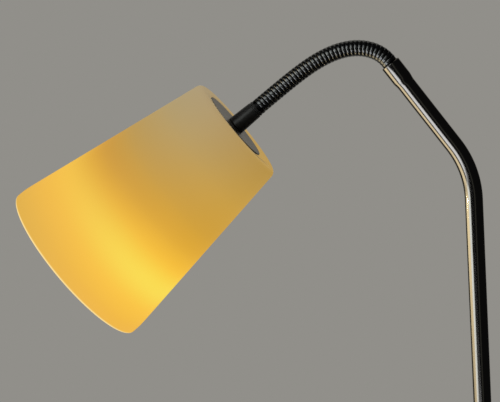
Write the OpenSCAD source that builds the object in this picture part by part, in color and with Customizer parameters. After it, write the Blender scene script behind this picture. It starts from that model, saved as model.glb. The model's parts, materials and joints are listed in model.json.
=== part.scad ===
// Pharmacy floor lamp: round weighted base, three-part pole with a bent top,
// flexible neck and a tapered glass shade.
// Frame: +Z up, origin on the floor under the pole, the arm leans towards -X.
// All sizes are in millimetres.

/* [Base] */
// Diameter of the round base cover
base_d = 250; // [220:5:300]
// Height of the base cover at its rim
base_rim_h = 20; // [18:1:26]
// Height of the base cover at the pole
base_crown_h = 28; // [26:1:34]
// Thickness of the spun steel cover
cover_wall = 1.5; // [1:0.1:2]
// Thickness of the floor pad
pad_h = 2; // [1.5:0.5:4]

/* [Pole] */
// Height above the floor at which the upright and slanted pole axes meet
corner_h = 1234; // [1050:1:1400]
// Outer diameter of the pole tube
pole_d = 16; // [15:0.5:20]
// Wall of the pole tube
pole_wall = 1.1; // [1:0.1:1.5]
// Lean of the pole's top from the vertical, in degrees
arm_angle = 35; // [25:1:45]
// Length of the slanted top, from the corner to the tube's end
arm_len = 117; // [105:0.5:150]
// Centreline radius of the pole's bend
bend_r = 85; // [70:1:120]
// Diameter of the flared end that holds the neck
flare_d = 17.6; // [17:0.1:20]
// Length of the flared end
flare_len = 16; // [12:1:24]

/* [Neck] */
// Length of the flexible neck between its two sockets
neck_len = 135; // [125:1:160]
// Straight length of the neck next to its lower socket
neck_straight = 2; // [0:0.5:10]
// Length over which the neck bends, after its straight start
neck_bend_len = 125; // [100:1:160]
// Outer diameter of the flexible neck
neck_d = 14.4; // [14:0.1:16]
// Gap between neighbouring neck links on the centreline
link_gap = 1.5; // [1.4:0.1:1.8]

/* [Head] */
// Heading of the shade's axis below the horizontal, in degrees
head_angle = 36.5; // [28:0.5:44]
// Length of the black stem between the neck and the cap disc
stem_len = 25; // [22:1:36]
// Stem diameter at the neck
stem_neck_d = 14.9; // [14.4:0.1:16]
// Stem diameter at the cap disc
stem_disc_d = 16.8; // [16:0.1:20]
// Diameter of the thin metal disc on top of the shade
disc_d = 65; // [56:1:80]
// Thickness of the thin metal disc
disc_h = 1; // [0.8:0.1:2.4]

/* [Shade] */
// Length of the glass shade along its axis
shade_len = 189.5; // [165:0.5:225]
// Diameter of the shade's closed top
shade_top_d = 101; // [84:1:116]
// Diameter of the shade's open mouth
shade_mouth_d = 161; // [138:1:188]
// Thickness of the glass
glass_t = 3; // [2.5:0.1:4]
// Depth of the shallow seat in the shade's top that takes the disc
seat_h = 1.8; // [0.8:0.1:2.2]
// Distance the glass hangs below the head's axis in its oversize hole
shade_sag = 3; // [0:0.1:4]
// Outside radius of the shoulder between the top and the side
shoulder_r = 5.5; // [5:0.5:8]

/* [Bulb] */
// Diameter of the bulb's dome
bulb_d = 60; // [50:1:66]
// Length of the bulb over its cap
bulb_len = 108; // [100:1:120]

/* [Hidden] */
$fn = 96;
link_count = 13;
function two_digits(i) = str(i < 10 ? "0" : "", i);
link_names = [for (i = [1:link_count]) str("neck_link_", two_digits(i))];

// Play between two parts that touch face to face, and round a part in a hole
face_gap = 0.05;
fit_gap = 0.1;
// Points that one quarter turn of a rounded outline gets
arc_steps = 8;

// Colours
satin_nickel = [0.34, 0.33, 0.32];
dark_nickel = [0.22, 0.21, 0.21];
black_metal = [0.08, 0.08, 0.08];
bright_zinc = [0.72, 0.73, 0.74];
cast_iron = [0.25, 0.25, 0.26];
brass_tone = [0.80, 0.66, 0.33];
black_rubber = [0.07, 0.07, 0.07];
amber_glass = [0.95, 0.74, 0.30];
clear_silicone = [0.88, 0.86, 0.80];
white_plastic = [0.93, 0.93, 0.90];
opal_white = [1.00, 0.97, 0.88];

// Base
base_r = base_d / 2;
cover_foot_z = 0.6;
weight_top_z = base_rim_h - cover_wall - 1;
weight_r = base_r - cover_wall - 1.5;
rim_r = 4;
crown_r = 24;
pad_r = base_r - 8;
nut_well_r = 17;
nut_well_h = 7;
bush_wall = 1.2;
bush_bore_r = 3.2;
bush_flange_r = bush_bore_r + bush_wall + 1.4;
bush_r = bush_bore_r + bush_wall;
bush_pocket = 9;
bush_flange_t = 1.5;
bush_reach = 4;
bush_z = pad_h + bush_flange_r + 0.4;

// Threaded tube size used in the base and in the head
nipple_r = 4.9;
nipple_bore_r = 3.3;
nut_flats = 14;
nut_h = 4;
washer_h = 1.2;

// Pole
pole_r = pole_d / 2;
tube_bore_r = pole_r - pole_wall;
pole_foot_z = base_crown_h + face_gap;
bend_reach = bend_r * tan(arm_angle / 2);
flare_taper = 7;
straight_top = corner_h - bend_reach;
taper_at = arm_len - flare_len - flare_taper;
// The straights run into the bend by this lap, and stand this step proud of it
lap = 0.4;
lap_step = 0.02;
slant_z = bend_reach - lap;
section_len = (straight_top - pole_foot_z) / 3;
lower_joint_z = pole_foot_z + section_len;
upper_joint_z = pole_foot_z + 2 * section_len;
coupler_reach = 24;
seam_h = 0.8;
collar_r = pole_r + 8;
collar_h = 12;
flare_bore_r = flare_d / 2 - pole_wall;
lead_r = 2.2;
plug_bore_r = lead_r + 0.4;

// Neck: its heading turns from the pole end's to the head's, fast at first,
// and has stopped turning before it meets the head
neck_start = [-arm_len * sin(arm_angle), corner_h + arm_len * cos(arm_angle)];
neck_turn = 90 + head_angle - arm_angle;
neck_step = 0.5;
function turn_left(u) = min(1, max(0, 1 - (u - neck_straight) / neck_bend_len));
function neck_heading(u) = 90 + arm_angle + neck_turn * (1 - pow(turn_left(u), 3));
function along(heading) = [cos(heading), sin(heading)];
function neck_sum(u, from = 0) =
    from >= u ? [0, 0]
    : let (step = min(neck_step, u - from))
      step * along(neck_heading(from + step / 2)) + neck_sum(u, from + step);
function neck_point(u) = neck_start + neck_sum(u);
link_pitch = neck_len / link_count;
link_len = link_pitch - link_gap;
rib_r = 1.25;
rib_pitch = 2.9;
sleeve_r = 4.8;
sleeve_bore_r = 3.3;
spigot_r = sleeve_bore_r - fit_gap;
spigot_len = 3;
// A link that turns by less than this many degrees is made straight
straight_below = 0.5;

// Head, along the shade's axis from the neck's end at 0 to the mouth
head_origin = neck_point(neck_len);
stem_start = 0.4;
disc_z = stem_len;
gasket_h = 0.4;
outer_gasket_z = disc_z + disc_h;
shade_z = outer_gasket_z + gasket_h - seat_h;
inner_gasket_z = shade_z + seat_h + glass_t;
shade_washer_z = inner_gasket_z + gasket_h;
shade_nut_z = shade_washer_z + washer_h;
holder_z = shade_nut_z + nut_h + 0.6;
shade_hole_r = nipple_r + shade_sag + 0.3;
seat_r = disc_d / 2 + shade_sag + 0.5;
mouth_z = shade_z + shade_len;

// Outline of the shade, radius against distance from its top
glass_r_top = shade_top_d / 2;
lip_r = glass_t / 2;
half_cone = atan((shade_mouth_d / 2 - glass_r_top) / shade_len);
function side_r(z, inset) = glass_r_top + (z * sin(half_cone) - inset) / cos(half_cone);
shoulder_c = [side_r(shoulder_r, shoulder_r), shoulder_r];
lip_z = shade_len - lip_r;
lip_c = [side_r(lip_z, lip_r), lip_z];
function arc(c, r, from, to) =
    [for (i = [0:arc_steps]) c + r * [cos(from + (to - from) * i / arc_steps),
                                      sin(from + (to - from) * i / arc_steps)]];

// Lampholder
holder_cap_r = 18;
holder_cap_h = 17;
holder_body_r = 20;
holder_wall = 2;
holder_body_z = holder_z + holder_cap_h - 4;
holder_body_h = 40;
terminal_z = holder_z + 9;
terminal_r = 12;
terminal_h = 7;
contact_z = terminal_z + terminal_h;
shell_r = 15.2;
shell_wall = 0.6;
shell_z = contact_z + 4;
shell_h = holder_body_z + holder_body_h - shell_z - 2;

// Bulb
bulb_z = shell_z + 1.5;
cap_r = 13.2;
cap_h = 23;
thread_pitch = 3.6;
thread_crest_r = 0.5;
contact_h = 3;
bulb_r = bulb_d / 2;
dome_c = bulb_z + bulb_len - bulb_r;
housing_top_r = 16;
// The housing's neck stays narrow until it is clear of the holder
housing_neck_h = holder_body_z + holder_body_h + 1 - bulb_z - contact_h - cap_h;
dome_seat_z = dome_c - bulb_r * 0.45;
dome_seat_r = sqrt(pow(bulb_r, 2) - pow(dome_c - dome_seat_z, 2));
dome_wall = 1.5;

// Places
module on_floor_axis(z) translate([0, 0, z]) children();
// +Z of the children follows a heading in the XZ plane, measured from +X
module at_heading(p, heading) translate([p.x, 0, p.y]) rotate([0, 90 - heading, 0]) children();
module on_neck(u) at_heading(neck_point(u), neck_heading(u)) children();
module from_corner() translate([0, 0, corner_h]) children();
module on_slant(d) from_corner() rotate([0, -arm_angle, 0]) translate([0, 0, d]) children();
module on_head(z)
    at_heading(head_origin, 180 + head_angle) translate([0, 0, z]) children();

// Shared shapes
module ring(r, bore_r, h)
    difference() {
        cylinder(r = r, h = h);
        translate([0, 0, -1]) cylinder(r = bore_r, h = h + 2);
    }
module hex_nut(flats, bore_r, h)
    difference() {
        cylinder(d = flats / cos(30), h = h, $fn = 6);
        translate([0, 0, -1]) cylinder(r = bore_r, h = h + 2);
    }
module turned(points) rotate_extrude() polygon(points);
module pole_tube(h) ring(pole_r, tube_bore_r, h);

// Base
module floor_pad()
    color(black_rubber) cylinder(r = pad_r, h = pad_h);

module base_weight()
    color(cast_iron)
    difference() {
        union() {
            on_floor_axis(pad_h) cylinder(r = weight_r, h = weight_top_z - pad_h);
            // Boss that carries the cover's crown
            on_floor_axis(pad_h)
                cylinder(r = crown_r - 4, h = base_crown_h - cover_wall - face_gap - pad_h);
        }
        on_floor_axis(-1) cylinder(r = nipple_r + 0.3, h = base_crown_h);
        on_floor_axis(-1) cylinder(r = nut_well_r, h = nut_well_h + pad_h + 1);
        // Channel for the cord, from the inlet to the middle
        translate([0, -lead_r - 1.8, -1])
            cube([base_r, 2 * lead_r + 3.6, pad_h + nut_well_h + 1]);
        // Pocket behind the inlet bush
        translate([weight_r - bush_pocket, -bush_flange_r - 0.5, -1])
            cube([base_r, 2 * bush_flange_r + 1, base_crown_h]);
    }

module base_cover()
    color(satin_nickel)
    difference() {
        turned(concat(
            [[nipple_r + 0.3, base_crown_h - cover_wall], [crown_r, base_crown_h - cover_wall]],
            [[base_r - rim_r, base_rim_h - cover_wall]],
            [[base_r - cover_wall, base_rim_h - rim_r], [base_r - cover_wall, cover_foot_z]],
            [[base_r, cover_foot_z]],
            arc([base_r - rim_r, base_rim_h - rim_r], rim_r, 0, 80),
            [[crown_r, base_crown_h], [nipple_r + 0.3, base_crown_h]]));
        translate([base_r - rim_r - 4, 0, bush_z]) rotate([0, 90, 0])
            cylinder(r = bush_r + fit_gap, h = rim_r + 8);
    }

module cord_bush()
    color(black_rubber)
    translate([base_r, 0, bush_z]) rotate([0, 90, 0])
    difference() {
        union() {
            translate([0, 0, -bush_reach]) cylinder(r = bush_r, h = bush_reach + bush_flange_t);
            translate([0, 0, face_gap])
                cylinder(r = bush_flange_r, h = bush_flange_t - face_gap);
            translate([0, 0, -bush_reach]) cylinder(r = bush_flange_r, h = bush_flange_t);
        }
        translate([0, 0, -bush_reach - 1])
            cylinder(r = bush_bore_r, h = bush_reach + bush_flange_t + 2);
    }

module base_washer()
    color(bright_zinc)
    on_floor_axis(pad_h + nut_well_h - washer_h) ring(12, nipple_r + 0.3, washer_h - face_gap);

module base_lock_washer()
    color(bright_zinc)
    on_floor_axis(pad_h + nut_well_h - 2 * washer_h) ring(8.5, nipple_r + 0.2, washer_h - face_gap);

module base_nut()
    color(bright_zinc)
    on_floor_axis(pad_h + 0.4) hex_nut(nut_flats, nipple_r, nut_well_h - 2 * washer_h - 0.5);

module base_nipple()
    color(bright_zinc)
    on_floor_axis(pad_h + 0.3) ring(nipple_r - 0.02, nipple_bore_r, pole_foot_z + 14 - pad_h);

module pole_collar()
    color(satin_nickel)
    on_floor_axis(base_crown_h + face_gap)
    turned([[pole_r + fit_gap, 0], [collar_r, 0], [collar_r, 3], [collar_r - 3, 5],
            [pole_r + 2.2, collar_h], [pole_r + fit_gap, collar_h]]);

module pole_foot_plug()
    color(bright_zinc)
    on_floor_axis(pole_foot_z) ring(tube_bore_r - face_gap, nipple_r, 22);

// Pole
module lower_pole()
    color(satin_nickel)
    on_floor_axis(pole_foot_z) pole_tube(section_len - seam_h / 2);

module middle_pole()
    color(satin_nickel)
    on_floor_axis(lower_joint_z + seam_h / 2) pole_tube(section_len - seam_h);

module coupler(z)
    color(bright_zinc)
    on_floor_axis(z)
    difference() {
        union() {
            translate([0, 0, -coupler_reach])
                cylinder(r = tube_bore_r - face_gap, h = 2 * coupler_reach);
            translate([0, 0, face_gap - seam_h / 2])
                cylinder(r = pole_r - 0.5, h = seam_h - 2 * face_gap);
        }
        translate([0, 0, -coupler_reach - 1])
            cylinder(r = nipple_bore_r, h = 2 * coupler_reach + 2);
    }

module lower_coupler() coupler(lower_joint_z);

module upper_coupler() coupler(upper_joint_z);

// Sweeps a 2-D profile round the pole's bend
module pole_bend()
    from_corner() translate([-bend_r, 0, -bend_reach]) rotate([90, 0, 0])
        rotate_extrude(angle = arm_angle) translate([bend_r, 0]) children();

// A straight length, the bend, and a slanted length with the flared end
module upper_pole()
    color(satin_nickel) {
        run = corner_h - bend_reach - upper_joint_z - seam_h / 2;
        taper_z = taper_at - slant_z;
        end_z = arm_len - slant_z;
        from_corner() translate([0, 0, -bend_reach - run]) pole_tube(run + lap);
        pole_bend() difference() {
            circle(r = pole_r - lap_step);
            circle(r = tube_bore_r + lap_step);
        }
        on_slant(slant_z)
            turned([[tube_bore_r, 0], [pole_r, 0], [pole_r, taper_z],
                    [flare_d / 2, taper_z + flare_taper], [flare_d / 2, end_z],
                    [flare_bore_r, end_z], [flare_bore_r, taper_z + flare_taper],
                    [tube_bore_r, taper_z]]);
    }

module neck_socket_plug()
    color(black_metal)
    difference() {
        union() {
            on_slant(arm_len - flare_len) cylinder(r = flare_bore_r - face_gap, h = flare_len - 0.8);
            on_slant(arm_len - 1) cylinder(r = spigot_r, h = 1 + spigot_len);
        }
        on_slant(arm_len - flare_len - 1) cylinder(r = plug_bore_r, h = flare_len + spigot_len + 2);
    }

// The insulated lead inside the base and the pole
module pole_lead()
    color(black_rubber) {
        foot_z = pad_h + 1.4;
        on_floor_axis(foot_z) cylinder(r = lead_r, h = straight_top + lap - foot_z);
        pole_bend() circle(r = lead_r - lap_step);
        on_slant(slant_z) cylinder(r = lead_r, h = arm_len - slant_z);
    }

// Neck: each link is a sleeve with three ribs that follows the neck's curve
module rib()
    rotate_extrude() {
        translate([sleeve_bore_r + 0.6, -rib_r])
            square([neck_d / 2 - rib_r - sleeve_bore_r - 0.6, 2 * rib_r]);
        translate([neck_d / 2 - rib_r, 0]) circle(r = rib_r, $fn = 32);
    }

module neck_sleeve(middle)
    on_neck(middle) {
        turn = neck_heading(middle + link_len / 2) - neck_heading(middle - link_len / 2);
        if (turn < straight_below)
            translate([0, 0, -link_len / 2]) ring(sleeve_r, sleeve_bore_r, link_len);
        else {
            curve_r = link_len / turn * 180 / PI;
            translate([-curve_r, 0, 0]) rotate([90, turn / 2, 0])
                rotate_extrude(angle = turn) translate([curve_r, 0]) difference() {
                    circle(r = sleeve_r);
                    circle(r = sleeve_bore_r);
                }
        }
    }

module neck_link(i)
    color(dark_nickel) {
        middle = (i - 0.5) * link_pitch;
        neck_sleeve(middle);
        for (k = [-1:1]) on_neck(middle + k * rib_pitch) rib();
    }

// Head
module head_stem()
    color(black_metal)
    on_head(0)
    difference() {
        union() {
            turned([[0, stem_start], [stem_neck_d / 2 - 0.5, stem_start],
                    [stem_neck_d / 2, stem_start + 0.5], [stem_disc_d / 2, disc_z - face_gap],
                    [0, disc_z - face_gap]]);
            translate([0, 0, -spigot_len]) cylinder(r = spigot_r, h = spigot_len + 1);
        }
        translate([0, 0, -spigot_len - 1]) cylinder(r = plug_bore_r, h = stem_len);
        translate([0, 0, 9]) cylinder(r = nipple_r, h = stem_len);
    }

module head_nipple()
    color(bright_zinc)
    on_head(9.5) ring(nipple_r - 0.02, nipple_bore_r, terminal_z - 11.6);

module cap_disc()
    color(satin_nickel)
    on_head(disc_z)
    turned([[nipple_r + 0.1, 0], [disc_d / 2 - 0.4, 0], [disc_d / 2, 0.4],
            [disc_d / 2, disc_h - face_gap], [nipple_r + 0.1, disc_h - face_gap]]);

module outer_gasket()
    color(clear_silicone)
    on_head(outer_gasket_z) ring(disc_d / 2 - 1, nipple_r + 0.1, gasket_h - face_gap);

module shade()
    color(amber_glass)
    on_head(shade_z)
    translate([-shade_sag, 0, 0])
    turned(concat(
        [[shade_hole_r, seat_h], [seat_r, seat_h], [seat_r + seat_h, 0]],
        arc(shoulder_c, shoulder_r, -90, -half_cone),
        arc(lip_c, lip_r, -half_cone, 180 - half_cone),
        arc(shoulder_c, shoulder_r - glass_t, -half_cone, -90),
        [[seat_r + seat_h - 1.2, glass_t], [seat_r - 1.2, seat_h + glass_t]],
        [[shade_hole_r, seat_h + glass_t]]));

module inner_gasket()
    color(clear_silicone)
    on_head(inner_gasket_z + face_gap) ring(17, nipple_r + 0.1, gasket_h - face_gap);

module shade_washer()
    color(bright_zinc)
    on_head(shade_washer_z + face_gap) ring(16, nipple_r + 0.1, washer_h - face_gap);

module shade_nut()
    color(bright_zinc)
    on_head(shade_nut_z + face_gap) hex_nut(nut_flats, nipple_r, nut_h - face_gap);

// Lampholder
module holder_cap()
    color(black_metal)
    on_head(holder_z)
    turned([[nipple_r, 0], [nipple_r + 4, 0], [holder_cap_r, 6], [holder_cap_r, holder_cap_h],
            [holder_cap_r - holder_wall, holder_cap_h], [holder_cap_r - holder_wall, 8],
            [nipple_r + 3, 3.5], [nipple_r, 3.5]]);

module holder_body()
    color(black_metal)
    on_head(holder_body_z)
    turned([[holder_cap_r + 0.1, 0], [holder_body_r + 0.6, 0], [holder_body_r + 0.6, 6],
            [holder_body_r - 1.5, 9], [holder_body_r - 1.5, holder_body_h],
            [shell_r + face_gap, holder_body_h], [shell_r + face_gap, 6],
            [holder_cap_r + 0.1, 5]]);

module holder_shell()
    color(brass_tone)
    on_head(shell_z)
    difference() {
        cylinder(r = shell_r, h = shell_h);
        translate([0, 0, shell_wall]) cylinder(r = shell_r - shell_wall, h = shell_h);
        translate([0, 0, -1]) cylinder(r = 8, h = 4);
    }

module terminal_block()
    color(white_plastic)
    on_head(terminal_z)
    difference() {
        cylinder(r = terminal_r, h = terminal_h);
        for (side = [-1, 1])
            translate([0, side * 7, -1]) cylinder(r = 1.7, h = terminal_h + 2);
        translate([0, 0, -1]) cylinder(r = 1.6, h = terminal_h + 2);
    }

module terminal_screws()
    color(bright_zinc)
    for (side = [-1, 1])
        on_head(terminal_z)
            translate([0, side * 7, -1.6]) {
                cylinder(r = 2.6, h = 1.5);
                cylinder(r = 1.6, h = terminal_h);
            }

module holder_contacts()
    color(brass_tone)
    on_head(contact_z + face_gap) {
        cylinder(r = 5.5, h = 1);
        translate([0, 0, 1]) cylinder(r1 = 3.5, r2 = 2, h = bulb_z - contact_z - 1.3);
        for (side = [-1, 1])
            translate([side * 9 - 1.5, -2, 0]) cube([3, 4, shell_z - contact_z - 2 * face_gap]);
    }

module head_lead()
    color(black_rubber)
    on_head(-spigot_len) cylinder(r = lead_r, h = terminal_z + spigot_len - 2);

// Bulb
module bulb_screw_cap()
    color(bright_zinc)
    on_head(bulb_z + contact_h) {
        ring(cap_r - thread_crest_r, cap_r - thread_crest_r - 1, cap_h);
        for (turn = [0:3])
            translate([0, 0, 3 + turn * thread_pitch])
                rotate_extrude() translate([cap_r - thread_crest_r, 0])
                    circle(r = thread_crest_r, $fn = 24);
    }

module bulb_base_contact()
    color(black_metal)
    on_head(bulb_z)
    turned([[0, 0], [3, 0], [4.5, 1], [cap_r - 2, contact_h - face_gap], [0, contact_h - face_gap]]);

module bulb_housing()
    color(white_plastic)
    on_head(bulb_z + contact_h + cap_h) {
        housing_h = dome_seat_z - bulb_z - contact_h - cap_h;
        turned([[0, face_gap], [cap_r, face_gap], [cap_r, housing_neck_h],
                [housing_top_r, housing_neck_h + 2], [dome_seat_r, housing_h - face_gap],
                [0, housing_h - face_gap]]);
    }

module bulb_led_board()
    color(white_plastic)
    on_head(dome_seat_z) {
        cylinder(r = dome_seat_r - dome_wall - 1.5, h = 1.6);
        for (turn = [0:7])
            rotate([0, 0, turn * 45]) translate([14, -1.5, 1.6]) cube([3, 3, 0.8]);
    }

module bulb_dome()
    color(opal_white)
    on_head(dome_c)
    difference() {
        sphere(r = bulb_r);
        sphere(r = bulb_r - dome_wall);
        translate([0, 0, -bulb_r - 1])
            cylinder(r = bulb_r + 1, h = dome_seat_z - dome_c + bulb_r + 1);
    }

floor_pad();
base_weight();
base_cover();
base_nut();
base_lock_washer();
base_washer();
base_nipple();
cord_bush();
pole_collar();
pole_foot_plug();
lower_pole();
lower_coupler();
middle_pole();
upper_coupler();
upper_pole();
neck_socket_plug();
pole_lead();
for (i = [1:link_count])
    neck_link(i);
head_stem();
head_nipple();
cap_disc();
outer_gasket();
shade();
inner_gasket();
shade_washer();
shade_nut();
holder_cap();
holder_body();
holder_shell();
holder_contacts();
terminal_block();
terminal_screws();
head_lead();
bulb_screw_cap();
bulb_base_contact();
bulb_housing();
bulb_led_board();
bulb_dome();
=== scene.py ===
"""Looks of a pharmacy floor lamp: weighted base, bent pole, wound flexible neck, lit frosted glass shade.

Sizes are in metres. The neck's curve and the head's axis follow the CAD model's own rules.
"""
import json
import math

import bmesh
import bpy
import numpy as np
from mathutils import Matrix, Vector


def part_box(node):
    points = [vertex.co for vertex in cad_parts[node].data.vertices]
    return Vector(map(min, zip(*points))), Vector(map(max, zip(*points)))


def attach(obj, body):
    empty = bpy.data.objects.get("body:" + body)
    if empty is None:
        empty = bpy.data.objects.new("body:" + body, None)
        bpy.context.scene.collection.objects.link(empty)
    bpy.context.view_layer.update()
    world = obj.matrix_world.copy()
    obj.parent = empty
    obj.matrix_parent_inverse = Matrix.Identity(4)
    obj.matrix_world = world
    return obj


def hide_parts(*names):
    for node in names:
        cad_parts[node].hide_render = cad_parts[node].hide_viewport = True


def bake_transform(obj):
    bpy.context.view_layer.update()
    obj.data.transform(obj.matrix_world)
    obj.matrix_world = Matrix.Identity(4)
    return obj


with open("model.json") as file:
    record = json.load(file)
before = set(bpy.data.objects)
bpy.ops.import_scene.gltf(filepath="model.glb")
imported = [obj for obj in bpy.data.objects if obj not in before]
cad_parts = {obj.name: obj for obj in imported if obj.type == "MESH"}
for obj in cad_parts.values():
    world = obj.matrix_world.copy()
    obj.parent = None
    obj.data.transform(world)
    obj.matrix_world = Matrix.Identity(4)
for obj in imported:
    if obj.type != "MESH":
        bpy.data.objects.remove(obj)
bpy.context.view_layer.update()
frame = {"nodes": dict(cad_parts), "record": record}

# ---------------------------------------------------------------- driving sizes
ARM_ANGLE = math.radians(35)
HEAD_ANGLE = math.radians(36.5)
ARM_LEN = 0.1170
BEND_R = 0.085
POLE_R = 0.008
POLE_WALL = 0.0011
FLARE_R = 0.0088
FLARE_LEN = 0.016
FLARE_TAPER = 0.007
NECK_LEN = 0.135
NECK_STRAIGHT = 0.002
NECK_BEND_LEN = 0.125
NECK_R = 0.0072
LINKS = 13
TURNS_PER_LINK = 3
STEM_LEN = 0.025
STEM_NECK_R = 0.00745
STEM_DISC_R = 0.0084
DISC_R = 0.0325
DISC_H = 0.0010
GASKET_H = 0.0004
SEAT_H = 0.0018
SHADE_SAG = 0.0030
SHADE_LEN = 0.1895
SHADE_TOP_R = 0.0505
SHADE_MOUTH_R = 0.0805
GLASS_T = 0.003
SHOULDER_R = 0.0055
NIPPLE_R = 0.0049
BULB_R = 0.030
BULB_LEN = 0.108

top_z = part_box("upper_pole")[1][2]
corner_z = top_z - ARM_LEN * math.cos(ARM_ANGLE) - FLARE_R * math.sin(ARM_ANGLE)
arm_dir = Vector((-math.sin(ARM_ANGLE), 0, math.cos(ARM_ANGLE)))
neck_start = Vector((0, 0, corner_z)) + arm_dir * ARM_LEN


# ---------------------------------------------------------------- the neck's curve
def neck_heading(u):
    """Heading in the XZ plane, from +X towards +Z, at distance u along the neck."""
    turn = math.pi / 2 + HEAD_ANGLE - ARM_ANGLE
    left = np.clip(1 - (np.asarray(u) - NECK_STRAIGHT) / NECK_BEND_LEN, 0, 1)
    return math.pi / 2 + ARM_ANGLE + turn * (1 - left ** 3)


CURVE_STEPS = 1072
_mid = (np.arange(CURVE_STEPS) + 0.5) * NECK_LEN / CURVE_STEPS
_step = NECK_LEN / CURVE_STEPS
_curve_u = np.linspace(0, NECK_LEN, CURVE_STEPS + 1)
_curve_x = neck_start.x + np.concatenate([[0], np.cumsum(np.cos(neck_heading(_mid)) * _step)])
_curve_z = neck_start.z + np.concatenate([[0], np.cumsum(np.sin(neck_heading(_mid)) * _step)])


def neck_point(u):
    """Points on the neck's centreline, straight on past either end."""
    u = np.asarray(u, float)
    inside = np.clip(u, 0, NECK_LEN)
    over = u - inside
    heading = neck_heading(inside)
    x = np.interp(inside, _curve_u, _curve_x) + over * np.cos(heading)
    z = np.interp(inside, _curve_u, _curve_z) + over * np.sin(heading)
    return np.stack([x, np.zeros_like(x), z], -1)


def neck_frame(u):
    """Unit tangent and in-plane normal (towards the outside of the bend) at u."""
    heading = neck_heading(np.clip(u, 0, NECK_LEN))
    tangent = np.stack([np.cos(heading), np.zeros_like(heading), np.sin(heading)], -1)
    normal = np.stack([np.sin(heading), np.zeros_like(heading), -np.cos(heading)], -1)
    return tangent, normal


head_origin = Vector(neck_point(NECK_LEN))
head_dir = Vector((-math.cos(HEAD_ANGLE), 0, -math.sin(HEAD_ANGLE)))


# ---------------------------------------------------------------- mesh helpers
def axis_matrix(origin, direction):
    """Places +Z of a turned shape along a direction in the XZ plane."""
    z = Vector(direction).normalized()
    y = Vector((0, 1, 0))
    x = y.cross(z)
    m = Matrix((x, y, z)).transposed().to_4x4()
    m.translation = origin
    return m


def on_head(z=0.0):
    return axis_matrix(head_origin + head_dir * z, head_dir)


def on_glass(z=0.0):
    """The shade's own axis: the glass hangs a little below the head's axis."""
    m = on_head(z)
    m.translation = m.translation - m.to_3x3() @ Vector((SHADE_SAG, 0, 0))
    return m


def on_floor(z=0.0):
    return Matrix.Translation((0, 0, z))


def to_object(name, bm, sharp_deg=32):
    """Turns a bmesh into an object, smooth except over edges sharper than sharp_deg."""
    bmesh.ops.recalc_face_normals(bm, faces=bm.faces)
    limit = math.radians(sharp_deg)
    for face in bm.faces:
        face.smooth = True
    for edge in bm.edges:
        edge.smooth = len(edge.link_faces) != 2 or edge.calc_face_angle(0) < limit
    mesh = bpy.data.meshes.new(name)
    bm.to_mesh(mesh)
    bm.free()
    obj = bpy.data.objects.new(name, mesh)
    bpy.context.collection.objects.link(obj)
    return obj


def fillet(points, radius, steps=5):
    """A closed outline with its corners rounded. radius is one number or one for each corner."""
    n = len(points)
    radii = radius if isinstance(radius, (list, tuple)) else [radius] * n
    out = []
    for i, p in enumerate(points):
        p = Vector(p)
        a = Vector(points[i - 1]) - p
        b = Vector(points[(i + 1) % n]) - p
        angle = a.angle(b)
        r = radii[i]
        if r <= 0 or angle > math.radians(178):
            out.append(tuple(p))
            continue
        cut = min(r / math.tan(angle / 2), 0.45 * a.length, 0.45 * b.length)
        r = cut * math.tan(angle / 2)
        centre = p + (a.normalized() + b.normalized()).normalized() * r / math.sin(angle / 2)
        start = p + a.normalized() * cut - centre
        end = p + b.normalized() * cut - centre
        sweep = start.angle_signed(end)
        for k in range(steps + 1):
            t = -sweep * k / steps
            out.append((centre.x + start.x * math.cos(t) - start.y * math.sin(t),
                        centre.y + start.x * math.sin(t) + start.y * math.cos(t)))
    return out


def turn_into(bm, outline, place, segments=96):
    """Adds the solid of a closed (radius, height) outline turned about +Z of place."""
    rings = []
    for r, z in outline:
        if r < 1e-7:
            rings.append([bm.verts.new(place @ Vector((0, 0, z)))])
        else:
            rings.append([bm.verts.new(place @ Vector((r * math.cos(a), r * math.sin(a), z)))
                          for a in np.linspace(0, 2 * math.pi, segments, endpoint=False)])
    for i in range(len(rings)):
        a, b = rings[i], rings[(i + 1) % len(rings)]
        for k in range(segments):
            corners = [a[k % len(a)], a[(k + 1) % len(a)], b[(k + 1) % len(b)], b[k % len(b)]]
            unique = list(dict.fromkeys(corners))
            if len(unique) > 2 and not (len(a) == 1 and len(b) == 1):
                bm.faces.new(unique)


def turned(name, outline, place, segments=96, sharp_deg=32):
    bm = bmesh.new()
    turn_into(bm, outline, place, segments)
    return to_object(name, bm, sharp_deg)


def tube_into(bm, centres, across, up, radius_a, radius_b, sides, closed=False):
    """Adds a tube round centres: each section is an ellipse in the plane of across and up."""
    rings = []
    for c, e, w in zip(centres, across, up):
        rings.append([bm.verts.new(c + e * radius_a * math.cos(a) + w * radius_b * math.sin(a))
                      for a in np.linspace(0, 2 * math.pi, sides, endpoint=False)])
    for a, b in zip(rings, rings[1:]):
        for k in range(sides):
            bm.faces.new((a[k], a[(k + 1) % sides], b[(k + 1) % sides], b[k]))
    if not closed:
        bm.faces.new(rings[0])
        bm.faces.new(rings[-1])


# ---------------------------------------------------------------- material helpers
def new_material(name):
    material = bpy.data.materials.new(name)
    material.use_nodes = True
    nodes = material.node_tree.nodes
    shader = nodes["Principled BSDF"]
    return material, nodes, material.node_tree.links, shader


def noise(nodes, links, coords, scale, stretch=(1, 1, 1), detail=3.0):
    """A noise texture's factor, in object space, stretched per axis."""
    mapping = nodes.new("ShaderNodeMapping")
    mapping.inputs["Scale"].default_value = stretch
    links.new(coords, mapping.inputs["Vector"])
    texture = nodes.new("ShaderNodeTexNoise")
    texture.inputs["Scale"].default_value = scale
    texture.inputs["Detail"].default_value = detail
    links.new(mapping.outputs["Vector"], texture.inputs["Vector"])
    return texture.outputs["Fac"]


def object_coords(nodes):
    return nodes.new("ShaderNodeTexCoord").outputs["Object"]


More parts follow.
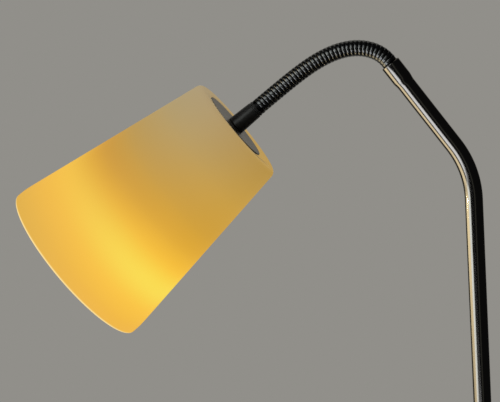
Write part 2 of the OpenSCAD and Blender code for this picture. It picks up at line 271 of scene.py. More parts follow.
def remap(nodes, links, value, low, high, from_low=0.3, from_high=0.7):
    node = nodes.new("ShaderNodeMapRange")
    node.inputs["From Min"].default_value = from_low
    node.inputs["From Max"].default_value = from_high
    node.inputs["To Min"].default_value = low
    node.inputs["To Max"].default_value = high
    links.new(value, node.inputs["Value"])
    return node.outputs["Result"]


def mix_colors(nodes, links, factor, a, b):
    node = nodes.new("ShaderNodeMix")
    node.data_type = "RGBA"
    node.inputs["A"].default_value = (*a, 1)
    node.inputs["B"].default_value = (*b, 1)
    links.new(factor, node.inputs["Factor"])
    return node.outputs["Result"]


def bump(nodes, links, shader, height, strength, distance):
    node = nodes.new("ShaderNodeBump")
    node.inputs["Strength"].default_value = strength
    node.inputs["Distance"].default_value = distance
    links.new(height, node.inputs["Height"])
    links.new(node.outputs["Normal"], shader.inputs["Normal"])


def surface(name, color, color_b, metallic, rough, grain_scale, stretch=(1, 1, 1),
            bump_strength=0.15, bump_distance=0.0002, coat=0.0, coat_rough=0.1, spec=0.5):
    """A surface with two close colours, uneven roughness and a fine grain."""
    material, nodes, links, shader = new_material(name)
    coords = object_coords(nodes)
    shader.inputs["Metallic"].default_value = metallic
    shader.inputs["Coat Weight"].default_value = coat
    shader.inputs["Coat Roughness"].default_value = coat_rough
    shader.inputs["Specular IOR Level"].default_value = spec
    broad = noise(nodes, links, coords, grain_scale * 0.08, detail=4)
    grain = noise(nodes, links, coords, grain_scale, stretch)
    links.new(mix_colors(nodes, links, broad, color, color_b), shader.inputs["Base Color"])
    links.new(remap(nodes, links, grain, rough[0], rough[1]), shader.inputs["Roughness"])
    bump(nodes, links, shader, grain, bump_strength, bump_distance)
    return material


# ---------------------------------------------------------------- materials
nickel = surface("satin_black_nickel", (0.37, 0.355, 0.34), (0.34, 0.325, 0.31), 1.0,
                 (0.12, 0.17), 700, (1, 1, 0.04), 0.02, 0.00005)
cover_nickel = surface("spun_black_nickel", (0.33, 0.315, 0.30), (0.29, 0.28, 0.27), 1.0,
                       (0.22, 0.30), 600, (1, 1, 1), 0.05, 0.0001)
neck_nickel = surface("polished_black_nickel", (0.25, 0.255, 0.26), (0.21, 0.215, 0.22), 1.0,
                      (0.24, 0.30), 600, (1, 1, 1), 0.03, 0.0001)
# Painted shade: the neck's core, seen only in the grooves between the wire turns, is near-black to stand in
# for the shade there
groove_shade_nickel = surface("groove_shade_black_nickel", (0.03, 0.03, 0.031), (0.02, 0.02, 0.021), 1.0,
                        (0.35, 0.45), 600, (1, 1, 1), 0.03, 0.0001)
disc_metal = surface("satin_disc_metal", (0.42, 0.39, 0.36), (0.38, 0.355, 0.33), 1.0,
                     (0.34, 0.42), 800, (1, 1, 1), 0.06, 0.0001)
stem_black = surface("satin_black_enamel", (0.012, 0.012, 0.012), (0.018, 0.018, 0.017), 0.0,
                     (0.34, 0.42), 700, (1, 1, 1), 0.04, 0.00005, spec=1.0)
zinc = surface("zinc_plate", (0.62, 0.63, 0.65), (0.54, 0.55, 0.56), 1.0, (0.28, 0.42), 500)
iron = surface("cast_iron", (0.05, 0.05, 0.052), (0.09, 0.088, 0.086), 0.6, (0.6, 0.8), 350,
               bump_strength=0.5, bump_distance=0.0006)
brass = surface("brass", (0.72, 0.50, 0.20), (0.62, 0.43, 0.18), 1.0, (0.22, 0.32), 500)
rubber = surface("black_rubber", (0.02, 0.02, 0.02), (0.032, 0.031, 0.03), 0.0, (0.62, 0.78), 600,
                 bump_strength=0.3)
sheath = surface("lead_sheath", (0.02, 0.02, 0.02), (0.03, 0.03, 0.03), 0.0, (0.4, 0.5), 500)
phenolic = surface("black_phenolic", (0.012, 0.011, 0.010), (0.02, 0.018, 0.016), 0.0,
                   (0.22, 0.32), 450, coat=0.2)
silicone = surface("clear_silicone", (0.70, 0.66, 0.56), (0.62, 0.58, 0.50), 0.0, (0.4, 0.5), 400)
white_plastic = surface("white_plastic", (0.78, 0.77, 0.73), (0.70, 0.69, 0.66), 0.0,
                        (0.35, 0.45), 400, bump_strength=0.1)

SHADE_Z = STEM_LEN + DISC_H + GASKET_H - SEAT_H
# Painted glow of the glass, standing in for the bulb's light through it, from its closed top at 0 to its
# mouth at 1: on its lower side, and on its upper side, whose cooler, creamier colours are painted daylight
# from above
PAINTED_GLOW_LOWER = [
    (0.00, (0.49, 0.295, 0.062)),
    (0.20, (0.60, 0.350, 0.058)),
    (0.40, (0.68, 0.370, 0.040)),
    (0.52, (0.83, 0.450, 0.038)),
    (0.62, (1.00, 0.590, 0.050)),
    (0.72, (1.04, 0.745, 0.085)),
    (0.82, (1.02, 0.615, 0.064)),
    (0.92, (0.94, 0.520, 0.058)),
    (1.00, (0.90, 0.490, 0.070)),
]
PAINTED_GLOW_AND_DAYLIGHT_UPPER = [
    (0.00, (0.34, 0.270, 0.165)),
    (0.20, (0.37, 0.270, 0.120)),
    (0.40, (0.46, 0.265, 0.048)),
    (0.55, (0.61, 0.300, 0.016)),
    (0.70, (0.84, 0.480, 0.034)),
    (0.85, (0.84, 0.455, 0.036)),
    (1.00, (0.72, 0.395, 0.040)),
]
# Painted highlight: a bright cream line painted round the mouth's lip, standing in for light along the glass
# edge
PAINTED_RIM_HIGHLIGHT = (1.0, 0.74, 0.30)
# Where the rim's painted highlight starts and is full, as shares of the shade's length
RIM_FROM_TO = (0.989, 0.994)


def math_node(nodes, links, operation, *values):
    node = nodes.new("ShaderNodeMath")
    node.operation = operation
    for socket, value in zip(node.inputs, values):
        if isinstance(value, (int, float)):
            socket.default_value = value
        else:
            links.new(value, socket)
    return node.outputs["Value"]


def dot_with(nodes, links, vector, direction):
    node = nodes.new("ShaderNodeVectorMath")
    node.operation = "DOT_PRODUCT"
    node.inputs[1].default_value = direction
    links.new(vector, node.inputs[0])
    return node.outputs["Value"]


def color_ramp(nodes, links, factor, stops):
    ramp = nodes.new("ShaderNodeValToRGB")
    ramp.color_ramp.interpolation = "CARDINAL"
    elements = ramp.color_ramp.elements
    while len(elements) < len(stops):
        elements.new(0.5)
    for element, (position, color) in zip(elements, stops):
        element.position = position
        element.color = (*color, 1)
    links.new(factor, ramp.inputs["Fac"])
    return ramp.outputs["Color"]


def glass_material():
    """Frosted amber glass with painted light: its glow, painted as emission along the shade's axis, stands
    in for the bulb inside lighting it, with painted daylight on its upper side and a painted bright line at
    the mouth.
    """
    material, nodes, links, shader = new_material("frosted_amber_glass")
    coords = object_coords(nodes)
    place = on_glass(SHADE_Z)
    uphill = place.to_3x3() @ Vector((1, 0, 0))
    offset = nodes.new("ShaderNodeVectorMath")
    offset.operation = "SUBTRACT"
    offset.inputs[1].default_value = place.translation
    links.new(coords, offset.inputs[0])
    from_top = offset.outputs["Vector"]
    along = dot_with(nodes, links, from_top, head_dir / SHADE_LEN)
    across = dot_with(nodes, links, from_top, uphill / SHADE_MOUTH_R)
    cloud = noise(nodes, links, coords, 16, detail=1.5)
    uneven = math_node(nodes, links, "MULTIPLY_ADD", cloud, 0.03, -0.015)
    tilted = math_node(nodes, links, "MULTIPLY_ADD", across, 0.018, along)
    place_along = math_node(nodes, links, "ADD", tilted, uneven)
    # Painted daylight: towards its upper side the glass takes the cooler, creamier ramp
    side = nodes.new("ShaderNodeMapRange")
    side.interpolation_type = "SMOOTHSTEP"
    side.inputs["From Min"].default_value = -0.75
    side.inputs["From Max"].default_value = 0.95
    links.new(across, side.inputs["Value"])
    glow = nodes.new("ShaderNodeMix")
    glow.data_type = "RGBA"
    links.new(side.outputs["Result"], glow.inputs["Factor"])
    links.new(color_ramp(nodes, links, place_along, PAINTED_GLOW_LOWER), glow.inputs["A"])
    links.new(color_ramp(nodes, links, place_along, PAINTED_GLOW_AND_DAYLIGHT_UPPER), glow.inputs["B"])
    # Painted highlight: a bright line painted round the mouth's lip
    at_rim = remap(nodes, links, along, 0, 1, *RIM_FROM_TO)
    rim = nodes.new("ShaderNodeMix")
    rim.data_type = "RGBA"
    rim.inputs["B"].default_value = (*PAINTED_RIM_HIGHLIGHT, 1)
    links.new(at_rim, rim.inputs["Factor"])
    links.new(glow.outputs["Result"], rim.inputs["A"])
    links.new(rim.outputs["Result"], shader.inputs["Emission Color"])
    shader.inputs["Emission Strength"].default_value = 0.94
    grain = noise(nodes, links, coords, 1400, detail=2)
    links.new(mix_colors(nodes, links, cloud, (0.085, 0.070, 0.040), (0.10, 0.080, 0.045)),
              shader.inputs["Base Color"])
    links.new(remap(nodes, links, grain, 0.62, 0.70), shader.inputs["Roughness"])
    bump(nodes, links, shader, grain, 0.04, 0.00005)
    shader.inputs["Specular IOR Level"].default_value = 0.25
    shader.inputs["Sheen Weight"].default_value = 1.0
    shader.inputs["Sheen Roughness"].default_value = 0.10
    shader.inputs["Sheen Tint"].default_value = (1.0, 0.88, 0.62, 1)
    return material


glass = glass_material()


def glow_material(name, color, strength):
    material, nodes, links, shader = new_material(name)
    coords = object_coords(nodes)
    cloud = noise(nodes, links, coords, 60, detail=3)
    links.new(mix_colors(nodes, links, cloud, color, tuple(c * 0.96 for c in color)),
              shader.inputs["Emission Color"])
    shader.inputs["Base Color"].default_value = (0.9, 0.88, 0.82, 1)
    shader.inputs["Emission Strength"].default_value = strength
    links.new(remap(nodes, links, cloud, 0.3, 0.4), shader.inputs["Roughness"])
    return material


opal = glow_material("lit_opal", (1.0, 0.80, 0.46), 4.0)

SLOT_MATERIALS = {
    "satin_nickel": nickel, "dark_nickel": neck_nickel, "black_metal": stem_black,
    "zinc_steel": zinc, "cast_iron": iron, "black_rubber": rubber, "lead_sheath": sheath,
    "frosted_amber_glass": glass, "clear_silicone": silicone, "holder_black": phenolic,
    "brass": brass, "white_plastic": white_plastic, "opal_diffuser": opal,
}
slot_of = {s["node"]: s["material_slot"] for s in frame["record"]["subparts"]}


def dress(obj, material):
    obj.data.materials.clear()
    obj.data.materials.append(material)


for node_name, node_object in frame["nodes"].items():
    dress(node_object, SLOT_MATERIALS[slot_of[node_name]])
dress(frame["nodes"]["base_cover"], cover_nickel)


def place_piece(obj, body, material, *nodes):
    """Gives a piece its material, its body and the CAD nodes that it stands for."""
    dress(obj, material)
    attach(obj, body)
    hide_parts(*nodes)


# ---------------------------------------------------------------- poles
SEAM_BEVEL = 0.0004


def pole_section(name, node):
    low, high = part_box(node)
    length = high[2] - low[2]
    inner_r = POLE_R - POLE_WALL
    outline = fillet([(inner_r, 0), (POLE_R, 0), (POLE_R, length), (inner_r, length)], SEAM_BEVEL, 4)
    place_piece(turned(name, outline, on_floor(low[2]), 72), "stand", nickel, node)


pole_section("lower_tube", "lower_pole")
pole_section("middle_tube", "middle_pole")


def quarter(steps):
    return [math.pi / 2 * k / steps for k in range(steps + 1)]


def upper_pole():
    """One bent tube: straight, bend, slanted and flared, with a rounded mouth."""
    start_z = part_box("upper_pole")[0][2]
    reach = BEND_R * math.tan(ARM_ANGLE / 2)
    straight = corner_z - reach - start_z
    bend_len = BEND_R * ARM_ANGLE
    bend_end = straight + bend_len
    total = bend_end + ARM_LEN - reach
    taper_end = total - FLARE_LEN
    taper_start = taper_end - FLARE_TAPER
    lip = 0.0005
    inner_r = FLARE_R - POLE_WALL
    # Distance along the tube and radius there
    stations = [(SEAM_BEVEL * (1 - math.cos(a)), POLE_R - SEAM_BEVEL * (1 - math.sin(a)))
                for a in quarter(4)]
    stations += [(straight * k / 8, POLE_R) for k in range(1, 8)]
    stations += [(straight + bend_len * k / 30, POLE_R) for k in range(31)]
    stations += [(bend_end + (taper_start - bend_end) * k / 5, POLE_R) for k in range(1, 5)]
    for k in range(17):
        t = k / 16
        stations.append((taper_start + FLARE_TAPER * t, POLE_R + (FLARE_R - POLE_R) * t * t * (3 - 2 * t)))
    stations.append((taper_end + FLARE_LEN * 0.5, FLARE_R))
    stations += [(total - lip * (1 - math.sin(a)), FLARE_R - lip * (1 - math.cos(a))) for a in quarter(5)]
    stations += [(total, inner_r + 0.0002), (total - 0.0003, inner_r), (total - 0.006, inner_r)]

    def centre_at(distance):
        if distance <= straight:
            return Vector((0, 0, start_z + distance)), 0.0
        if distance <= bend_end:
            a = (distance - straight) / BEND_R
            return Vector((BEND_R * (math.cos(a) - 1), 0, corner_z - reach + BEND_R * math.sin(a))), a
        return Vector((0, 0, corner_z)) + arm_dir * (reach + distance - bend_end), ARM_ANGLE

    bm = bmesh.new()
    segments = 96
    rings = []
    for distance, radius in stations:
        centre, lean = centre_at(distance)
        side = Vector((math.cos(lean), 0, math.sin(lean)))
        rings.append([bm.verts.new(centre + side * radius * math.cos(a)
                                   + Vector((0, radius * math.sin(a), 0)))
                      for a in np.linspace(0, 2 * math.pi, segments, endpoint=False)])
    for a, b in zip(rings, rings[1:]):
        for k in range(segments):
            bm.faces.new((a[k], a[(k + 1) % segments], b[(k + 1) % segments], b[k]))
    bm.faces.new(rings[0])
    bm.faces.new(rings[-1])
    place_piece(to_object("bent_tube", bm), "stand", nickel, "upper_pole")


upper_pole()

# ---------------------------------------------------------------- flexible neck
PITCH = NECK_LEN / (LINKS * TURNS_PER_LINK)
LINK_PITCH = NECK_LEN / LINKS
WIRE_R = 0.0006
WIRE_FLAT = 0.00168
CORE_R = 0.00690
SECTIONS_PER_TURN = 40
WIRE_SIDES = 12


# Joints whose two sides ride rigidly and meet at a ball: a bend across them breaks when the neck curls up
BALL_JOINTS = (3, 5, 11)
# The ball's radius is this much under the core's
BALL_PLAY = 0.0001


def winding(name, start, end, ball_at=None):
    """The neck from start to end: wound wire over a core, with a ball where it meets a rigid joint."""
    first = start + (WIRE_FLAT if start < LINK_PITCH / 2 else 0)
    last = end - (WIRE_FLAT if end > NECK_LEN - LINK_PITCH / 2 else 0)
    count = max(2, int(round((last - first) / PITCH * SECTIONS_PER_TURN)) + 1)
    u = np.linspace(first, last, count)
    theta = 2 * math.pi * u / PITCH
    tangent, normal = neck_frame(u)
    side = np.tile([0.0, 1.0, 0.0], (count, 1))
    radial = normal * np.cos(theta)[:, None] + side * np.sin(theta)[:, None]
    centre_r = NECK_R - WIRE_R
    centres = neck_point(u) + radial * centre_r
    round_dir = -normal * np.sin(theta)[:, None] + side * np.cos(theta)[:, None]
    travel = round_dir * (2 * math.pi * centre_r / PITCH) + tangent
    travel /= np.linalg.norm(travel, axis=1)[:, None]
    up = np.cross(travel, radial)
    bm = bmesh.new()
    tube_into(bm, [Vector(c) for c in centres], [Vector(e) for e in radial],
              [Vector(w) for w in up], WIRE_R, WIRE_FLAT, WIRE_SIDES)
    wire_faces = len(bm.faces)
    rows = 8
    u = np.linspace(start, end, rows + 1)
    normal = neck_frame(u)[1]
    tube_into(bm, [Vector(c) for c in neck_point(u)], [Vector(n) for n in normal],
              [Vector((0, 1, 0))] * (rows + 1), CORE_R, CORE_R, 32)
    if ball_at is not None:
        bmesh.ops.create_uvsphere(bm, u_segments=32, v_segments=16, radius=CORE_R - BALL_PLAY,
                                  matrix=Matrix.Translation(Vector(neck_point(ball_at))))
    bm.faces.ensure_lookup_table()
    # Painted shade: the core and ball take the near-black groove material
    for face in bm.faces[wire_faces:]:
        face.material_index = 1
    obj = to_object(name, bm, 60)
    obj.data.materials.append(neck_nickel)
    obj.data.materials.append(groove_shade_nickel)
    return obj


def neck_piece(index):
    """The neck from the middle of one link to the middle of the next, across the joint between them."""
    start = 0.0002 if index == 1 else (index - 0.5) * LINK_PITCH
    end = NECK_LEN if index == LINKS - 1 else (index + 0.5) * LINK_PITCH
    joint_u = index * LINK_PITCH
    body_a = "stand" if index == 1 else f"neck_{index:02d}"
    body_b = "head" if index == LINKS - 1 else f"neck_{index + 1:02d}"
    name = f"neck_winding_{index:02d}"
    nodes = [f"neck_link_{index:02d}"]
    if index == LINKS - 1:
        nodes.append(f"neck_link_{LINKS:02d}")
    if index in BALL_JOINTS:
        low = winding(name, start, joint_u, joint_u)
        high = winding(f"{name}_outer", joint_u, end)
        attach(low, body_a)
        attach(high, body_b)
        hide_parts(*nodes)
        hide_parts(f"neck_link_{index + 1:02d}")
        return
    obj = winding(name, start, end)
    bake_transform(obj)
    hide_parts(*nodes)


for neck_index in range(1, LINKS):
    neck_piece(neck_index)

# ---------------------------------------------------------------- head
stem_bore = 0.0026
stem_outline = fillet([
    (stem_bore, 0.0004), (STEM_NECK_R - 0.0004, 0.0004), (STEM_NECK_R, 0.0020), (STEM_NECK_R, 0.0023),
    (STEM_NECK_R - 0.0006, 0.0025), (STEM_NECK_R - 0.0006, 0.0030), (STEM_NECK_R + 0.0001, 0.0032),
    (STEM_DISC_R - 0.0001, STEM_LEN - 0.0012), (STEM_DISC_R, STEM_LEN - 0.0009),
    (STEM_DISC_R - 0.0003, STEM_LEN - 0.0001), (stem_bore, STEM_LEN - 0.0001)], 0.0003, 3)
place_piece(turned("stem", stem_outline, on_head(), 96), "head", stem_black, "head_stem")

# Width of the dark edge round the disc: painted shadow, standing in for the shade in the gap between the
# disc and the glass seat
DISC_SHADOW_EDGE = 0.0012
disc_outline = fillet([(NIPPLE_R + 0.0001, 0), (DISC_R - DISC_SHADOW_EDGE, 0), (DISC_R, 0),
                       (DISC_R, DISC_H - 0.00005), (NIPPLE_R + 0.0001, DISC_H - 0.00005)], 0.0003, 4)
top_disc = turned("top_disc", disc_outline, on_head(STEM_LEN), 192)
place_piece(top_disc, "head", disc_metal, "cap_disc")
# Painted shadow: faces near the disc's edge take the black enamel
top_disc.data.materials.append(stem_black)
for face in top_disc.data.polygons:
    if (face.center - head_origin).cross(head_dir).length > DISC_R - DISC_SHADOW_EDGE:
        face.material_index = 1


# How far the mouth's edge is drawn in, and over what length
MOUTH_TUCK = 0.0014
TUCK_LEN = 0.014


def shade_outline():
    half = math.atan((SHADE_MOUTH_R - SHADE_TOP_R) / SHADE_LEN)

    def side_r(z, inset):
        return SHADE_TOP_R + (z * math.sin(half) - inset) / math.cos(half)

    def arc(c, r, a, b, steps):
        angles = [a + (b - a) * i / steps for i in range(steps + 1)]
        return [(c[0] + r * math.cos(t), c[1] + r * math.sin(t)) for t in angles]

    shoulder = (side_r(SHOULDER_R, SHOULDER_R), SHOULDER_R)
    lip_r = GLASS_T / 2
    lip = (side_r(SHADE_LEN - lip_r, lip_r), SHADE_LEN - lip_r)
    hole = NIPPLE_R + SHADE_SAG + 0.0003
    seat = DISC_R + SHADE_SAG + 0.0005
    outer = arc(shoulder, SHOULDER_R, -math.pi / 2, -half, 14)
    edge = arc(lip, lip_r, -half, math.pi - half, 14)
    inner = arc(shoulder, SHOULDER_R - GLASS_T, -half, -math.pi / 2, 8)

    def between(p, q, rows=24):
        return [(p[0] + (q[0] - p[0]) * i / rows, p[1] + (q[1] - p[1]) * i / rows)
                for i in range(1, rows)]

    step = [(hole, SEAT_H), (seat - 0.0002, SEAT_H), (seat + 0.0003, SEAT_H - 0.0002),
            (seat + SEAT_H - 0.0004, 0.0003), (seat + SEAT_H + 0.0002, 0)]
    under = [(seat + SEAT_H - 0.0012, GLASS_T), (seat - 0.0012, SEAT_H + GLASS_T),
             (hole, SEAT_H + GLASS_T)]
    outline = step + outer + between(outer[-1], edge[0]) + edge + between(edge[-1], inner[0]) + inner + under
    return [(r - MOUTH_TUCK * max(0, 1 - (SHADE_LEN - z) / TUCK_LEN) ** 2, z) for r, z in outline]


glass_shade = turned("glass_shade", shade_outline(), on_glass(SHADE_Z), 192)
# The pole's warm streak comes from the world's bands, so the glass stays out of the mirror rays
glass_shade.visible_glossy = False
place_piece(glass_shade, "head", glass, "shade")

# ---------------------------------------------------------------- lampholder and bulb
NUT_H = 0.004
WASHER_H = 0.0012
HOLDER_Z = SHADE_Z + SEAT_H + GLASS_T + GASKET_H + WASHER_H + NUT_H + 0.0006
HOLDER_CAP_R = 0.018
HOLDER_CAP_H = 0.017
HOLDER_BODY_R = 0.020
HOLDER_BODY_Z = HOLDER_Z + HOLDER_CAP_H - 0.004
HOLDER_BODY_H = 0.040
SHELL_R = 0.0152
SHELL_Z = HOLDER_Z + 0.009 + 0.007 + 0.004
BULB_Z = SHELL_Z + 0.0015
CAP_R = 0.0132
CAP_H = 0.023
CONTACT_H = 0.003
# How far below the dome's centre it sits on the housing, as a share of its radius
DOME_SEAT = 0.45
DOME_WALL = 0.0015
PLAY = 0.00005

place_piece(turned("holder_top", fillet([
    (NIPPLE_R, 0), (NIPPLE_R + 0.004, 0), (HOLDER_CAP_R, 0.006), (HOLDER_CAP_R, HOLDER_CAP_H),
    (HOLDER_CAP_R - 0.002, HOLDER_CAP_H), (HOLDER_CAP_R - 0.002, 0.008), (NIPPLE_R + 0.003, 0.0035),
    (NIPPLE_R, 0.0035)], [0.0003, 0.002, 0.002, 0.0004, 0.0004, 0.001, 0.0003, 0.0003], 6),
    on_head(HOLDER_Z), 96), "head", phenolic, "holder_cap")
place_piece(turned("holder_skirt", fillet([
    (HOLDER_CAP_R + 0.0001, 0), (HOLDER_BODY_R + 0.0006, 0), (HOLDER_BODY_R + 0.0006, 0.006),
    (HOLDER_BODY_R - 0.0015, 0.009), (HOLDER_BODY_R - 0.0015, HOLDER_BODY_H),
    (SHELL_R + PLAY, HOLDER_BODY_H), (SHELL_R + PLAY, 0.006), (HOLDER_CAP_R + 0.0001, 0.005)],
    [0.0003, 0.0008, 0.0008, 0.0008, 0.0008, 0.0006, 0.0003, 0.0003], 6),
    on_head(HOLDER_BODY_Z), 96), "head", phenolic, "holder_body")

dome_z = BULB_Z + BULB_LEN - BULB_R
seat_z = dome_z - BULB_R * DOME_SEAT
dome_seat_r = math.sqrt(BULB_R ** 2 - (dome_z - seat_z) ** 2)
housing_z = BULB_Z + CONTACT_H + CAP_H
housing_h = seat_z - housing_z
neck_h = HOLDER_BODY_Z + HOLDER_BODY_H + 0.001 - housing_z
place_piece(turned("bulb_body", fillet([
    (0, PLAY), (CAP_R, PLAY), (CAP_R, neck_h), (0.016, neck_h + 0.002),
    (dome_seat_r, housing_h - PLAY), (0, housing_h - PLAY)],
    [0, 0.0004, 0.0012, 0.0015, 0.0003, 0], 6), on_head(housing_z), 96),
    "bulb", white_plastic, "bulb_housing")


def dome_outline():
    inner_r = BULB_R - DOME_WALL
    low = math.asin((seat_z - dome_z) / BULB_R)
    low_in = math.asin((seat_z - dome_z) / inner_r)
    steps = 40
    outer = [(BULB_R * math.cos(low + (math.pi / 2 - low) * k / steps),
              dome_z + BULB_R * math.sin(low + (math.pi / 2 - low) * k / steps)) for k in range(steps)]
    inner = [(inner_r * math.cos(math.pi / 2 + (low_in - math.pi / 2) * k / steps),
              dome_z + inner_r * math.sin(math.pi / 2 + (low_in - math.pi / 2) * k / steps))
             for k in range(1, steps + 1)]
    return outer + [(0, dome_z + BULB_R), (0, dome_z + inner_r)] + inner


place_piece(turned("opal_dome", dome_outline(), on_head(), 128), "bulb", opal, "bulb_dome")


def screw_cap():
    """The bulb's cap: one rolled skin with four rounded thread crests."""
    skin = CAP_R - 0.0005
    outline = [(skin - 0.001, 0), (skin - 0.0004, 0.0001), (skin, 0.0006)]
    for turn in range(4):
        middle = 0.003 + turn * 0.0036
        for k in range(9):
            a = -math.pi / 2 + math.pi * k / 8
            outline.append((skin + 0.00048 * math.cos(a), middle + 0.0011 * math.sin(a)))
    outline += [(skin, CAP_H - 0.0004), (skin - 0.0003, CAP_H), (skin - 0.001, CAP_H)]
    return turned("screw_cap", outline, on_head(BULB_Z + CONTACT_H), 96)


place_piece(screw_cap(), "bulb", zinc, "bulb_screw_cap")

# ---------------------------------------------------------------- base
BASE_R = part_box("base_cover")[1][0]
CROWN_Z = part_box("base_cover")[1][2]
COVER_WALL = 0.0015
COVER_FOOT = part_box("base_cover")[0][2]
RIM_Z = 0.020
RIM_R = 0.004
CROWN_R = 0.024
PAD_H = 0.002
COLLAR_H = 0.012


def cover_outline():
    centre = (BASE_R - RIM_R, RIM_Z - RIM_R)
    rim = [(centre[0] + RIM_R * math.cos(math.radians(80) * k / 12),
            centre[1] + RIM_R * math.sin(math.radians(80) * k / 12)) for k in range(13)]
    slope = [(rim[-1][0] + (CROWN_R - rim[-1][0]) * k / 12, rim[-1][1] + (CROWN_Z - rim[-1][1]) * k / 12)
             for k in range(1, 12)]
    edge = [(CROWN_R + 0.002, CROWN_Z - 0.0002), (CROWN_R, CROWN_Z - 0.00005), (CROWN_R - 0.002, CROWN_Z)]
    hole = NIPPLE_R + 0.0003
    return ([(BASE_R - COVER_WALL, COVER_FOOT), (BASE_R - 0.0003, COVER_FOOT), (BASE_R, COVER_FOOT + 0.0003)]
            + rim + slope + edge
            + [(hole, CROWN_Z), (hole, CROWN_Z - COVER_WALL), (CROWN_R, CROWN_Z - COVER_WALL),
               (BASE_R - RIM_R, RIM_Z - COVER_WALL), (BASE_R - COVER_WALL, RIM_Z - RIM_R)])


cover = turned("spun_cover", cover_outline(), on_floor(), 256)
place_piece(cover, "stand", cover_nickel, "base_cover")
place_piece(turned("pad", fillet([(0, 0), (BASE_R - 0.008, 0), (BASE_R - 0.008, PAD_H), (0, PAD_H)],
                                 [0, 0.0006, 0.0006, 0], 4), on_floor(), 160), "stand", rubber, "floor_pad")
collar_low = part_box("pole_collar")[0][2]
place_piece(turned("collar", fillet([
    (POLE_R + 0.0001, 0), (POLE_R + 0.008, 0), (POLE_R + 0.008, 0.003), (POLE_R + 0.005, 0.005),
    (POLE_R + 0.0022, COLLAR_H), (POLE_R + 0.0001, COLLAR_H)],
    [0, 0.0005, 0.0016, 0.004, 0.0008, 0.0002], 8), on_floor(collar_low), 128),
    "stand", nickel, "pole_collar")

bush_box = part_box("cord_bush")
bush_z = (bush_box[0][2] + bush_box[1][2]) / 2
bush_flange_r = (bush_box[1][2] - bush_box[0][2]) / 2
bush_bore, bush_r = 0.0032, 0.0044
place_piece(turned("bush", fillet([
    (bush_bore, -0.004), (bush_flange_r, -0.004), (bush_flange_r, -0.0025), (bush_r, -0.0025),
    (bush_r, PLAY), (bush_flange_r, PLAY), (bush_flange_r, 0.0015), (bush_bore, 0.0015)],
    [0.0004, 0.0004, 0.0004, 0.0002, 0.0002, 0.0003, 0.0006, 0.0006], 5),
    axis_matrix(Vector((BASE_R, 0, bush_z)), (1, 0, 0)), 64), "stand", rubber, "cord_bush")

# ---------------------------------------------------------------- world, lights, floor, camera
AMBIENT = (0.008, 0.008, 0.008)
BACKDROP = (0.283, 0.275, 0.254)
# For each band: centre, half width and softness of its bearing, the same three of its rise, and its colour
WORLD_BANDS = [
    (62, 9, 8, (-2, 12, 8), (1.75, 1.85, 1.80)),
    (33, 13, 7, (-34, 12, 7), (1.70, 1.75, 1.80)),
    (30, 10, 16, (26, 10, 14), (0.90, 0.94, 0.90)),
    (97, 18, 7, (-3, 5, 10), (2.40, 2.00, 1.20)),
    (88, 14, 14, (-47, 25, 12), (1.80, 1.50, 0.95)),
    (180, 24, 14, (10, 60, 20), (0.30, 0.29, 0.26)),
    (-180, 24, 14, (10, 60, 20), (0.30, 0.29, 0.26)),
    (-9, 3, 5, (0, 40, 20), (0.055, 0.055, 0.045)),
]


def smooth_band(nodes, links, angle, centre, half_width, soft):
    """1 inside a band of angles, 0 outside, with soft edges. Angles in degrees."""
    away = math_node(nodes, links, "SUBTRACT", angle, math.radians(centre))
    edge = nodes.new("ShaderNodeMapRange")
    edge.interpolation_type = "SMOOTHSTEP"
    edge.inputs["From Min"].default_value = math.radians(half_width + soft)
    edge.inputs["From Max"].default_value = math.radians(half_width)
    links.new(math_node(nodes, links, "ABSOLUTE", away), edge.inputs["Value"])
    return edge.outputs["Result"]


def add_light_to(nodes, links, total, factor, color):
    """total plus color times factor."""
    scaled = nodes.new("ShaderNodeVectorMath")
    scaled.operation = "SCALE"
    scaled.inputs[0].default_value = color
    links.new(factor, scaled.inputs["Scale"])
    added = nodes.new("ShaderNodeVectorMath")
    added.operation = "ADD"
    links.new(total, added.inputs[0])
    links.new(scaled.outputs["Vector"], added.inputs[1])
    return added.outputs["Vector"]


def build_world():
    """A dark room with bands of light: a window on the left front, warm light on the left, a dim back."""
    world = bpy.data.worlds.new("studio")
    bpy.context.scene.world = world
    world.use_nodes = True
    nodes, links = world.node_tree.nodes, world.node_tree.links
    nodes.clear()
    coords = nodes.new("ShaderNodeTexCoord")
    parts = nodes.new("ShaderNodeSeparateXYZ")
    links.new(coords.outputs["Generated"], parts.inputs[0])
    left = math_node(nodes, links, "MULTIPLY", parts.outputs["X"], -1)
    front = math_node(nodes, links, "MULTIPLY", parts.outputs["Y"], -1)
    # 0 in front, 90 on the left, negative on the right
    angle = math_node(nodes, links, "ARCTAN2", left, front)
    rise = math_node(nodes, links, "ARCSINE", parts.outputs["Z"])

    start = nodes.new("ShaderNodeCombineXYZ")
    for socket, value in zip(start.inputs, AMBIENT):
        socket.default_value = value
    total = start.outputs["Vector"]
    for centre, half, soft, rise_band, color in WORLD_BANDS:
        band = smooth_band(nodes, links, angle, centre, half, soft)
        tall = smooth_band(nodes, links, rise, *rise_band)
        share = math_node(nodes, links, "MULTIPLY", band, tall)
        total = add_light_to(nodes, links, total, share, color)

    shown = nodes.new("ShaderNodeBackground")
    shown.inputs["Color"].default_value = (*BACKDROP, 1)
    lit = nodes.new("ShaderNodeBackground")
    links.new(total, lit.inputs["Color"])
    path = nodes.new("ShaderNodeLightPath")
    choose = nodes.new("ShaderNodeMixShader")
    links.new(path.outputs["Is Camera Ray"], choose.inputs[0])
    links.new(lit.outputs[0], choose.inputs[1])
    links.new(shown.outputs[0], choose.inputs[2])
    out = nodes.new("ShaderNodeOutputWorld")
    links.new(choose.outputs[0], out.inputs["Surface"])


build_world()


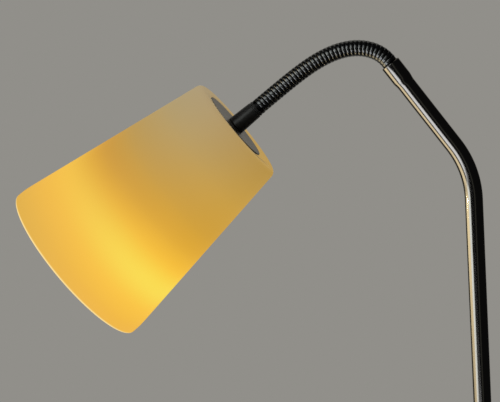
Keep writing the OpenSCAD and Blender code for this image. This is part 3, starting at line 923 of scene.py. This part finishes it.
def area_light(name, position, target, size, power, color, glossy):
    data = bpy.data.lights.new(name, "AREA")
    data.shape = "RECTANGLE"
    data.size, data.size_y = size
    data.energy = power
    data.color = color
    light = bpy.data.objects.new(name, data)
    bpy.context.collection.objects.link(light)
    light.location = position
    light.rotation_euler = (Vector(target) - Vector(position)).to_track_quat("-Z", "Y").to_euler()
    light.visible_glossy = glossy
    light.visible_camera = False
    return light


area_light("overhead", (0.2, -0.2, 3.2), (0, 0, 0), (2.6, 2.6), 40, (1.0, 0.98, 0.95), False)
area_light("key_left", (-2.2, -2.0, 2.2), (-0.25, 0, 1.1), (0.9, 1.4), 22, (0.93, 0.96, 1.0), False)

# The bulb's light out of the mouth
bulb_light_data = bpy.data.lights.new("bulb_light", "POINT")
bulb_light_data.energy = 5
bulb_light_data.color = (1.0, 0.78, 0.45)
bulb_light_data.shadow_soft_size = 0.02
bulb_light = bpy.data.objects.new("bulb_light", bulb_light_data)
bpy.context.collection.objects.link(bulb_light)
bulb_light.location = head_origin + head_dir * (SHADE_Z + SHADE_LEN - 0.02)
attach(bulb_light, "bulb")


def floor_disc():
    bm = bmesh.new()
    bmesh.ops.create_circle(bm, cap_ends=True, segments=128, radius=2.6)
    obj = to_object("floor", bm)
    material = surface("pale_floor", (0.62, 0.61, 0.59), (0.58, 0.57, 0.55), 0.0, (0.5, 0.62), 60,
                       bump_strength=0.05)
    dress(obj, material)
    obj.location.z = -0.0005
    obj.visible_glossy = False


floor_disc()

# Camera: to the front and a little to the right, a little above the head, slightly rolled
CAMERA_AZIMUTH = math.radians(3.34)
CAMERA_RISE = math.radians(8)
CAMERA_ROLL = math.radians(3.55)
CAMERA_DISTANCE = 1.381
CAMERA_AIM = Vector((-0.1956, 0, corner_z - 0.0176))
SENSOR = 36.0
FOCAL = 113.0

camera_data = bpy.data.cameras.new("camera")
camera_data.sensor_width = SENSOR
camera_data.lens = FOCAL
camera = bpy.data.objects.new("camera", camera_data)
bpy.context.collection.objects.link(camera)
back = Vector((math.sin(CAMERA_AZIMUTH) * math.cos(CAMERA_RISE),
               -math.cos(CAMERA_AZIMUTH) * math.cos(CAMERA_RISE), math.sin(CAMERA_RISE)))
camera.location = CAMERA_AIM + back * CAMERA_DISTANCE
facing = back.to_track_quat("Z", "Y").to_matrix()
camera.rotation_euler = (facing @ Matrix.Rotation(-CAMERA_ROLL, 3, "Z")).to_euler()
bpy.context.scene.camera = camera
bpy.context.scene.view_settings.view_transform = "Standard"
